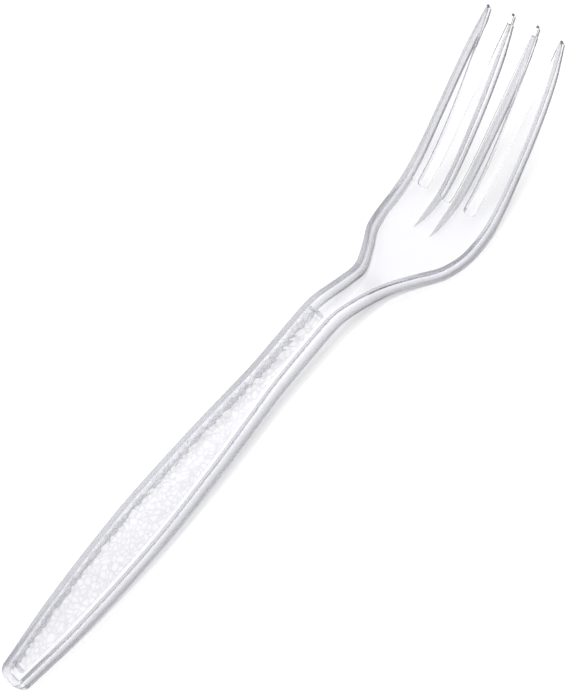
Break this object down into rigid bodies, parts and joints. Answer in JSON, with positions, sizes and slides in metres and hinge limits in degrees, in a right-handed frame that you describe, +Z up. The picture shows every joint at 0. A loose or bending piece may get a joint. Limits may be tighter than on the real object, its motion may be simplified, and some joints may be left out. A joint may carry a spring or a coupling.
{
  "type": "plastic fork",
  "caption": "Disposable clear plastic table fork with a channel-section handle, a pebbled grip panel, a raised neck and slim ribbed tines.",
  "frame": {"origin": "centre of the fork's footprint box, on the table", "axes": "+X along the fork from butt to tines, +Y across, +Z up from the table, concave side up"},
  "size_m": [0.1758, 0.0272, 0.0274],
  "materials": {
    "clear_plastic": "clear polystyrene, gloss all over, with a fine pebbled grain on the handle's grip panel"
  },
  "bodies": {
    "root": {"fork": "clear_plastic"}
  },
  "joints": []
}
